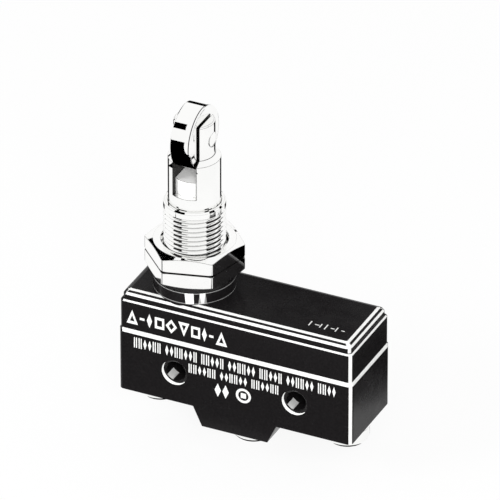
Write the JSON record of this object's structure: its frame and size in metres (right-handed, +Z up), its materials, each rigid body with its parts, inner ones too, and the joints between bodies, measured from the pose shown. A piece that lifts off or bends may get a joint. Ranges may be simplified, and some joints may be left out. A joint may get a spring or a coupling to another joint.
{
  "type": "micro switch",
  "caption": "Panel-mount basic switch with a threaded bush and nuts, a cross roller plunger, screw terminals and side mounting holes.",
  "frame": {"origin": "midway between the two side mounting holes, on their axes, at half the body's width", "axes": "+X along the body, away from the plunger's end; +Y across the body, along the mounting holes; +Z up, along the plunger, towards the roller"},
  "size_m": [0.0492, 0.019, 0.0701],
  "materials": {
    "phenolic_black": "gloss",
    "plated_metal": "satin nickel",
    "polished_steel": "polished",
    "terminal_brass": "satin",
    "spring_steel": "satin",
    "contact_silver": "satin",
    "pin_plastic": "matte",
    "marking_ink": "printed ink"
  },
  "bodies": {
    "switch_body": {"case": "phenolic_black", "cover": "phenolic_black", "mounting_bushing": "plated_metal", "lower_nut": "plated_metal", "upper_nut": "plated_metal", "spring_retainer": "terminal_brass", "return_spring": "spring_steel", "blade_rivet": "terminal_brass", "common_terminal": "terminal_brass", "normally_open_terminal": "terminal_brass", "normally_closed_terminal": "terminal_brass", "normally_open_contact": "contact_silver", "normally_closed_contact": "contact_silver", "screw_common": "polished_steel", "screw_normally_open": "polished_steel", "screw_normally_closed": "polished_steel", "washer_common": "plated_metal", "washer_normally_open": "plated_metal", "washer_normally_closed": "plated_metal", "cover_screw_left": "terminal_brass", "cover_screw_right": "terminal_brass"},
    "plunger": {"plunger_sleeve": "plated_metal", "roller_yoke": "plated_metal", "roller_pin": "polished_steel"},
    "roller_wheel": {"roller": "polished_steel"},
    "push_rod": {"push_pin": "pin_plastic", "overtravel_spring": "spring_steel"},
    "contact_arm": {"snap_blade": "spring_steel", "movable_contact": "contact_silver"}
  },
  "joints": [
    {"name": "plunger_slide", "type": "slide", "parent": "switch_body", "child": "plunger", "axis": [0, 0, -1], "range_m": [0, 0.004], "stiffness_N_per_m": 500, "springref_m": -0.004, "deforming": ["return_spring", "overtravel_spring"]},
    {"name": "roller_spin", "type": "hinge", "parent": "plunger", "child": "roller_wheel", "pos_m": [-0.0125, 0, 0.0483], "axis": [1, 0, 0], "continuous": true},
    {"name": "push_pin_slide", "type": "slide", "parent": "switch_body", "child": "push_rod", "axis": [0, 0, -1], "range_m": [0, 0.0004]},
    {"name": "blade_snap", "type": "hinge", "parent": "switch_body", "child": "contact_arm", "pos_m": [-0.0198, 0, 0.006], "axis": [0, 1, 0], "range_deg": [0, 1]}
  ],
  "couplings": [
    {"joint": "push_pin_slide", "follows": "plunger_slide", "ratio": 0.1},
    {"joint": "blade_snap", "follows": "plunger_slide", "rad_per_m": 4.3633}
  ]
}
